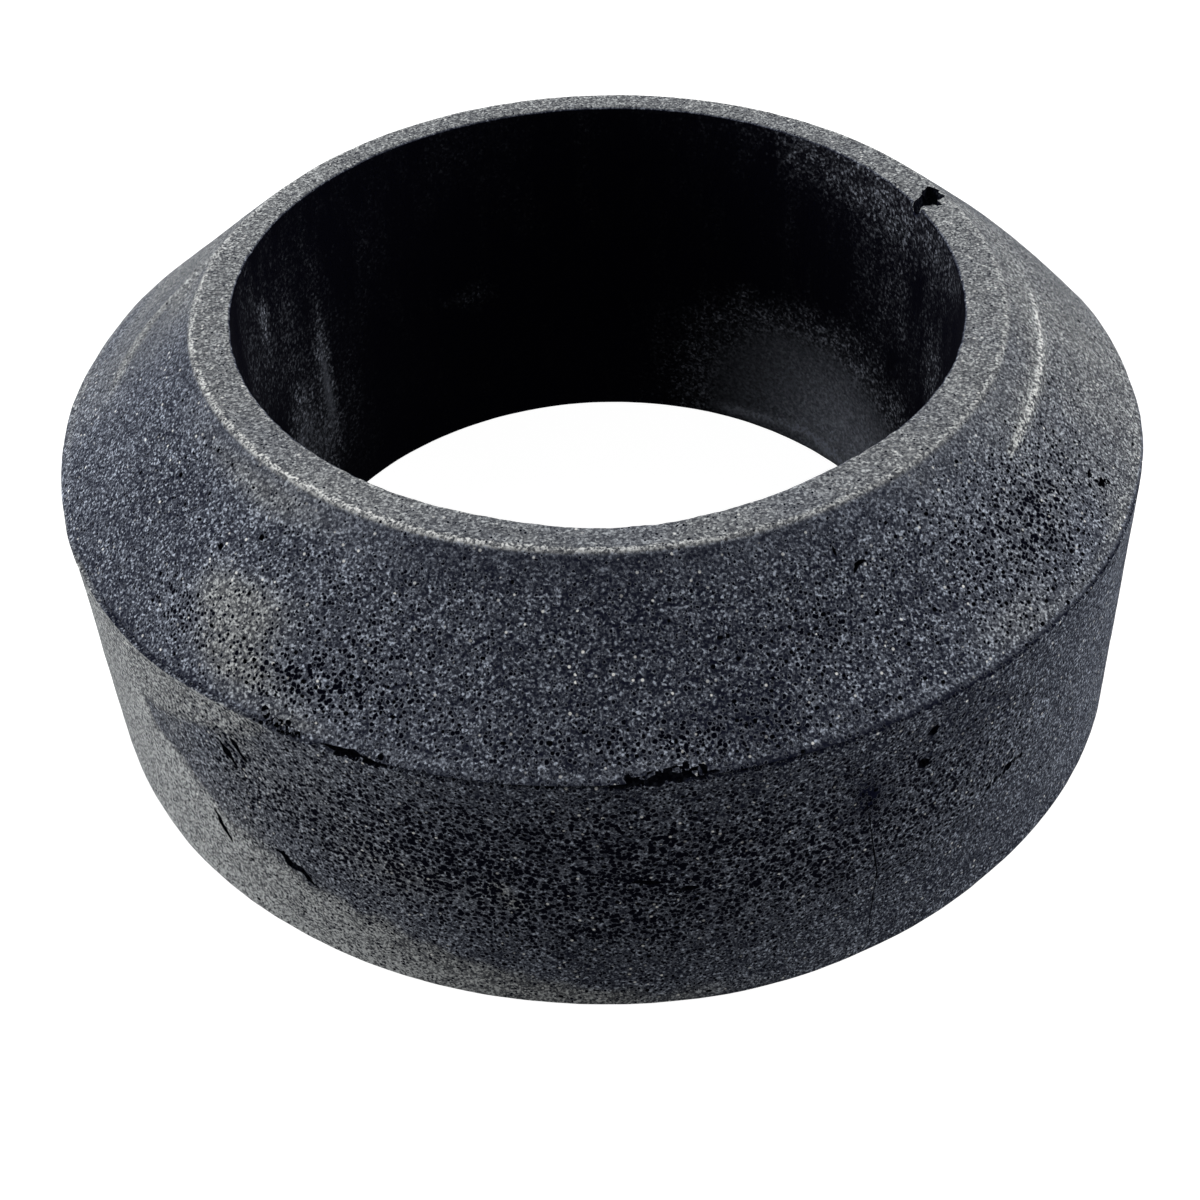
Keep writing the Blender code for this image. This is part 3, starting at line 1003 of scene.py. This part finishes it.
# %% Small cells of the sponge
def maths(tree, operation, *values, **settings):
    """A Math node on numbers or sockets, and its result."""
    return node(tree, "ShaderNodeMath", dict(enumerate(values)), operation=operation, **settings).outputs[0]


def remap(tree, value, low, high, to_low=0.0, to_high=1.0):
    """A value taken smoothly from one range to another, held at both ends."""
    inputs = {"Value": value, 1: low, 2: high, 3: to_low, 4: to_high}
    return node(tree, "ShaderNodeMapRange", inputs, interpolation_type="SMOOTHSTEP").outputs["Result"]


def noise_at(tree, where, scale, detail=1.0, roughness=0.5):
    """A cloudy value at each place."""
    inputs = {"Vector": where, "Scale": scale, "Detail": detail, "Roughness": roughness}
    return node(tree, "ShaderNodeTexNoise", inputs).outputs


def cells_at(tree, where, scale):
    """The distance to the middle of each place's cell, and three random numbers for that cell."""
    made = node(tree, "ShaderNodeTexVoronoi", {"Vector": where, "Scale": scale}, feature="F1").outputs
    return made["Distance"], node(tree, "ShaderNodeSeparateColor", {"Color": made["Color"]}).outputs


def times(tree, first, second, **settings):
    """A product."""
    return maths(tree, "MULTIPLY", first, second, **settings)


def rest(tree, value, **settings):
    """What a value leaves of 1."""
    return maths(tree, "SUBTRACT", 1.0, value, **settings)


def above_middle(tree, value):
    """How far a value from 0 to 1 is above its middle."""
    return maths(tree, "SUBTRACT", value, 0.5)


inputs = {"Vector": "Vector", "Cells": 2000.0, "Share": 0.7, "Size": 0.45, "Ragged": 0.00016}
cells, given, result = new_tree("sponge_cells", "ShaderNodeTree", inputs, {"Pit": "Float", "Lip": "Float"})
stir = noise_at(cells, given["Vector"], times(cells, given["Cells"], 1.3))["Color"]
for operation, factor in (("SUBTRACT", {1: MID_GREY}), ("SCALE", {"Scale": given["Ragged"]})):
    stir = node(cells, "ShaderNodeVectorMath", {0: stir, **factor}, operation=operation).outputs["Vector"]
where = node(cells, "ShaderNodeVectorMath", {0: given["Vector"], 1: stir}, operation="ADD").outputs["Vector"]
distance, chance = cells_at(cells, where, given["Cells"])
there = maths(cells, "LESS_THAN", chance["Red"], given["Share"])
own_size = times(cells, given["Size"], remap(cells, chance["Green"], 0.0, 1.0, 0.65, 1.15))
pit = remap(cells, distance, times(cells, own_size, 0.72), own_size, 1.0, 0.0)
band = remap(cells, distance, own_size, times(cells, own_size, 1.4), 1.0, 0.0)
lip = times(cells, maths(cells, "SUBTRACT", band, pit, use_clamp=True), there)
cells.links.new(times(cells, pit, there), result["Pit"])
cells.links.new(lip, result["Lip"])
print("group", cells.name, "with", len(cells.nodes), "nodes")

# %% Grain of the rubber
GRAIN_LAYERS = ((1.0, 1.0, 6.5), (0.4, 1.0, 1.5), (0.12, 2.0, 1.0))
CRUMB_WEIGHT = 2.8
SHADE_RANGE = (-2.5, 2.2)

inputs = {"Vector": "Vector", "Grains": 3400.0, "Specks": 0.05}
outputs = {"Shade": "Float", "Speck": "Float"}
grain, given, result = new_tree("rubber_grain", "ShaderNodeTree", inputs, outputs)
crumb_tone = cells_at(grain, given["Vector"], given["Grains"])[1]["Red"]
shade = times(grain, above_middle(grain, crumb_tone), CRUMB_WEIGHT)
for size, detail, weight in GRAIN_LAYERS:
    layer = noise_at(grain, given["Vector"], times(grain, given["Grains"], size), detail)["Fac"]
    shade = maths(grain, "MULTIPLY_ADD", above_middle(grain, layer), weight, shade)
held = maths(grain, "MINIMUM", maths(grain, "MAXIMUM", shade, SHADE_RANGE[0]), SHADE_RANGE[1])
grain.links.new(held, result["Shade"])
distance, chance = cells_at(grain, given["Vector"], times(grain, given["Grains"], 0.6))
there = maths(grain, "LESS_THAN", chance["Blue"], given["Specks"])
dot_shape = remap(grain, distance, 0.25, 0.45, 1.0, 0.0)
dot_level = times(grain, dot_shape, remap(grain, chance["Red"], 0.0, 1.0, 0.3, 1.0))
grain.links.new(times(grain, dot_level, there), result["Speck"])
print("group", grain.name, "with", len(grain.nodes), "nodes")

# %% Film of bloom and painted light
inputs = {"Vector": "Vector", "Amount": 0.5, "Patches": 140.0, "Uneven": 0.3}
film, given, result = new_tree("bloom_and_light_film", "ShaderNodeTree", inputs, {"Film": "Float"})
cloud = noise_at(film, given["Vector"], given["Patches"], 5.0, 0.62)["Fac"]
swing = times(film, above_middle(film, cloud), given["Uneven"])
film.links.new(maths(film, "MAXIMUM", maths(film, "ADD", given["Amount"], swing), 0.0), result["Film"])
print("group", film.name, "with", len(film.nodes), "nodes")

# %% [markdown]
# ## The outer skin
# The skin is blue-black under the grey bloom, which also carries painted light and shade. From near it is
# salt and pepper: dark cells with a pale lip, and light specks of filler. It reads the object's own
# coordinates, so the grain has its true size and needs no unwrapping.

# %% Colours of the rubber
BARE_RUBBER = (0.004, 0.005, 0.015, 1.0)
PALE_GREY = (0.535, 0.59, 0.70, 1.0)
# Greys of the bloom and dust, which also colour the painted light and highlights
PALEST_GREY = (0.60, 0.622, 0.625, 1.0)
PALE_SHARE = 0.385
CELL_BLACK = (0.0008, 0.001, 0.004, 1.0)
LIP_GREY = (0.38, 0.41, 0.48, 1.0)
# White of the filler specks, and of the painted glints on the highlight line
FILLER_AND_GLINT_WHITE = (0.95, 0.95, 0.93, 1.0)


def empty_tree(owner):
    """The node tree of a material or a world, without its nodes."""
    owner.use_nodes = True
    owner.node_tree.nodes.clear()
    return owner.node_tree


def material_parts(material, roughness, gloss):
    """A material's own tree, emptied, with a shader in it, and the place on the object."""
    tree = empty_tree(material)
    shader = node(tree, "ShaderNodeBsdfPrincipled", {"Roughness": roughness, "Specular IOR Level": gloss})
    node(tree, "ShaderNodeOutputMaterial", {"Surface": shader.outputs["BSDF"]})
    return tree, shader, node(tree, "ShaderNodeTexCoord").outputs["Object"]


def group(tree, shared, **inputs):
    """Place a shared node group, and give its outputs."""
    return node(tree, "ShaderNodeGroup", inputs, node_tree=shared).outputs


def stored_value(tree, name):
    """The number that the mesh stores under a name."""
    return node(tree, "ShaderNodeAttribute", attribute_name=name).outputs["Fac"]


def blend(tree, amount, first, second):
    """Two colours mixed."""
    return node(tree, "ShaderNodeMix", {0: amount, 6: first, 7: second}, data_type="RGBA").outputs[2]


def grainy(tree, amount, shade, strength):
    """An amount times a power of the grain: less of it in the dark dots, more in the light ones."""
    return times(tree, amount, maths(tree, "EXPONENT", times(tree, shade, strength)), use_clamp=True)


def finish_skin(tree, shader, colour, relief, strength, depth):
    """Give a skin its colour and its relief, up to a depth in mm."""
    bump = node(tree, "ShaderNodeBump", {"Strength": strength, "Distance": depth * MM, "Height": relief})
    tree.links.new(colour, shader.inputs["Base Color"])
    tree.links.new(bump.outputs["Normal"], shader.inputs["Normal"])
    print("nodes:", len(tree.nodes))


# %% Outer skin
GRAIN_ON_BARE = 1.2
GRAIN_ON_PALE = 0.75
OUTER_ROUGHNESS = 0.88
OUTER_GLOSS = 0.015

tree, shader, where = material_parts(outer_skin, OUTER_ROUGHNESS, OUTER_GLOSS)
bloom_and_light_here = stored_value(tree, "bloom_and_painted_light")
porosity_here = stored_value(tree, "porosity")
film_here = group(tree, film, Vector=where, Amount=bloom_and_light_here, Patches=130.0, Uneven=0.42)["Film"]
texture = group(tree, grain, Vector=where, Grains=5200.0, Specks=0.03)
wave = times(tree, texture["Shade"], 0.05)


def fine_line(name, core, reach):
    """A line drawn where a distance in mm is near 0, as strong as its own number says."""
    distance = maths(tree, "ABSOLUTE", maths(tree, "ADD", stored_value(tree, name + "_away"), wave))
    return times(tree, remap(tree, distance, core, reach, 1.0, 0.0), stored_value(tree, name + "_here"))


# Painted highlight lines on the rim's outer edge and the crease
line = fine_line("line", 0.06, 0.36)
# Painted shade in the gap along the parting line
parting_shade = fine_line("parting_shade", 0.12, 0.42)
# Painted highlight on the lip beside the parting line
brow_lip_highlight = fine_line("lip", 0.15, 0.5)
paler = maths(tree, "MULTIPLY_ADD", line, 0.5, film_here)
paler = maths(tree, "MULTIPLY_ADD", brow_lip_highlight, 0.3, paler)
# The painted shade darkens the pale tone along the gap
paler = times(tree, paler, rest(tree, parting_shade))
grainy_here = rest(tree, stored_value(tree, "calm"))
strength = times(tree, remap(tree, paler, 0.0, 0.65, GRAIN_ON_BARE, GRAIN_ON_PALE), grainy_here)
# The pale tone of bloom, dust and painted light
pale_tone = blend(tree, remap(tree, paler, 0.3, 0.8), PALE_GREY, PALEST_GREY)
pale_share = grainy(tree, times(tree, paler, PALE_SHARE), texture["Shade"], strength)
rubber = blend(tree, pale_share, BARE_RUBBER, pale_tone)
cell_share = remap(tree, porosity_here, 0.0, 1.2, 0.5, 1.0)
cell_size = remap(tree, porosity_here, 0.0, 1.4, 0.28, 0.72)
pits = group(tree, cells, Vector=where, Cells=2700.0, Share=cell_share, Size=cell_size, Ragged=0.0002)
pit = times(tree, pits["Pit"], rest(tree, brow_lip_highlight, use_clamp=True))
rubber = blend(tree, times(tree, pits["Lip"], 0.24), rubber, LIP_GREY)
rubber = blend(tree, pit, rubber, CELL_BLACK)
rubber = blend(tree, times(tree, texture["Speck"], grainy_here), rubber, FILLER_AND_GLINT_WHITE)
# White glints in the painted highlight line
glint = times(tree, line, remap(tree, texture["Shade"], -1.0, 1.6, 0.0, 0.6), use_clamp=True)
rubber = blend(tree, glint, rubber, FILLER_AND_GLINT_WHITE)
relief = maths(tree, "SUBTRACT", times(tree, texture["Shade"], 0.18), pit)
finish_skin(tree, shader, rubber, relief, 0.8, 0.1)

# %% [markdown]
# ## The bore and the torn rubber
# The mould's core left the bore smoother and blacker, with grey streaks where it dragged; its black is also
# painted darker for the shade inside the bore. Torn rubber never had a skin: it is matt black foam, the
# darkest thing here.

# %% Bore skin
# Black of the bore, painted darker than the rubber for the shade inside the bore
BORE_BLACK_AND_SHADE = (0.001, 0.001, 0.003, 1.0)
BORE_GREY = (0.66, 0.71, 0.84, 1.0)
BORE_ROUGHNESS = 0.92
BORE_GLOSS = 0.02

tree, shader, where = material_parts(bore_skin, BORE_ROUGHNESS, BORE_GLOSS)
bloom_and_light_here = stored_value(tree, "bloom_and_painted_light")
drag = node(tree, "ShaderNodeMapping", {"Vector": where, "Scale": (1.0, 1.0, 0.3)}).outputs["Vector"]
streaks = group(tree, film, Vector=drag, Amount=bloom_and_light_here, Patches=260.0, Uneven=0.07)["Film"]
uneven = times(tree, streaks, remap(tree, bloom_and_light_here, 0.0, 0.02, 0.15, 1.0))
texture = group(tree, grain, Vector=where, Grains=3600.0, Specks=0.14)
strength = remap(tree, bloom_and_light_here, 0.01, 0.12, 1.2, 0.25)
rubber = blend(tree, grainy(tree, uneven, texture["Shade"], strength), BORE_BLACK_AND_SHADE, BORE_GREY)
pit = group(tree, cells, Vector=where, Cells=2400.0, Share=0.4, Size=0.4, Ragged=0.0002)["Pit"]
dark_share = times(tree, pit, remap(tree, bloom_and_light_here, 0.0, 0.2, 0.85, 0.15))
rubber = blend(tree, dark_share, rubber, CELL_BLACK)
speck_share = times(tree, texture["Speck"], remap(tree, bloom_and_light_here, 0.0, 0.02, 0.004, 0.1))
rubber = blend(tree, speck_share, rubber, PALE_GREY)
relief = maths(tree, "SUBTRACT", times(tree, texture["Shade"], 0.15), pit)
finish_skin(tree, shader, rubber, relief, 0.8, 0.08)

# %% Torn rubber
TORN_ROUGHNESS = 0.95

tree, shader, where = material_parts(torn_rubber, TORN_ROUGHNESS, BORE_GLOSS)
texture = group(tree, grain, Vector=where, Grains=4200.0, Specks=0.02)
rubber = blend(tree, grainy(tree, 0.006, texture["Shade"], 0.8), CELL_BLACK, PALE_GREY)
finish_skin(tree, shader, rubber, texture["Shade"], 0.6, 0.05)

# %% [markdown]
# ## The stage
# The photograph was taken on white. The floor is pale, and glows a little for the camera so that it reads
# as white. Light Path tells what the camera sees from the light that really bounces up on the wall.

# %% Floor and surroundings
FLOOR_HALF = 1.6
FLOOR_GREY = (0.32, 0.32, 0.32, 1.0)
FLOOR_GLOW = 0.97
SKY_LEVEL = 0.25


def seen_directly(tree):
    """1 for a ray from the camera, or one that metal or glass sends on."""
    light_path = tree.nodes.new("ShaderNodeLightPath").outputs
    seen = maths(tree, "MAXIMUM", light_path["Is Camera Ray"], light_path["Is Glossy Ray"])
    return maths(tree, "MAXIMUM", seen, light_path["Is Transmission Ray"])


floor_mesh = bpy.data.meshes.new("floor")
corners = [(x * FLOOR_HALF, y * FLOOR_HALF, 0) for x, y in ((-1, -1), (1, -1), (1, 1), (-1, 1))]
floor_mesh.from_pydata(corners, [], [(0, 1, 2, 3)])
floor = add_object("floor", floor_mesh)
white = bpy.data.materials.new("white_floor")
tree = empty_tree(white)
matt = node(tree, "ShaderNodeBsdfDiffuse", {"Color": FLOOR_GREY})
glow = node(tree, "ShaderNodeEmission", {"Strength": times(tree, seen_directly(tree), FLOOR_GLOW)})
both = node(tree, "ShaderNodeAddShader", {0: matt.outputs[0], 1: glow.outputs[0]})
node(tree, "ShaderNodeOutputMaterial", {"Surface": both.outputs[0]})
floor_mesh.materials.append(white)

world = bpy.data.worlds.new("studio")
bpy.context.scene.world = world
tree = empty_tree(world)
level = remap(tree, seen_directly(tree), 0.0, 1.0, SKY_LEVEL, 1.0)
sky = node(tree, "ShaderNodeBackground", {"Color": (1.0, 1.0, 1.0, 1.0), "Strength": level})
node(tree, "ShaderNodeOutputWorld", {"Surface": sky.outputs[0]})
print("floor is", 2 * FLOOR_HALF, "m wide")

# %% [markdown]
# ## The lamps
# There is a softbox low at the left, one at the right, and one high behind, which lights the rim and leaves
# the front dark. Nothing shines from the front, so the bore stays black. A level of 1 is the light at which
# a colour shows as it is written.

# %% Softboxes
LAMPS = {
    "left_softbox": (172.0, 22.0, 0.35, 0.8),
    "right_softbox": (8.0, 27.0, 0.35, 0.6),
    "back_softbox": (92.0, 50.0, 0.40, 0.45),
}
LAMP_DISTANCE = 0.6

for name, (bearing_of_lamp, height_of_lamp, width, level) in LAMPS.items():
    lamp = bpy.data.lights.new(name, "AREA")
    lamp.shape = "SQUARE"
    lamp.size = width
    lamp.energy = math.pi**2 * LAMP_DISTANCE**2 * level
    tilt = math.radians(height_of_lamp)
    toward = at_bearing(bearing_of_lamp, math.cos(tilt), math.sin(tilt))
    softbox = add_object(name, lamp)
    softbox.location = toward * LAMP_DISTANCE
    softbox.rotation_euler = toward.to_track_quat("Z", "Y").to_euler()
    print(name, round(lamp.energy, 2), "W")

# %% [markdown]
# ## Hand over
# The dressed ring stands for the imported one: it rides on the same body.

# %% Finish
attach(gasket, "root")
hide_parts("spud_gasket")

bpy.context.scene.view_settings.view_transform = "Standard"

print("triangles:", len(ring.loop_triangles))
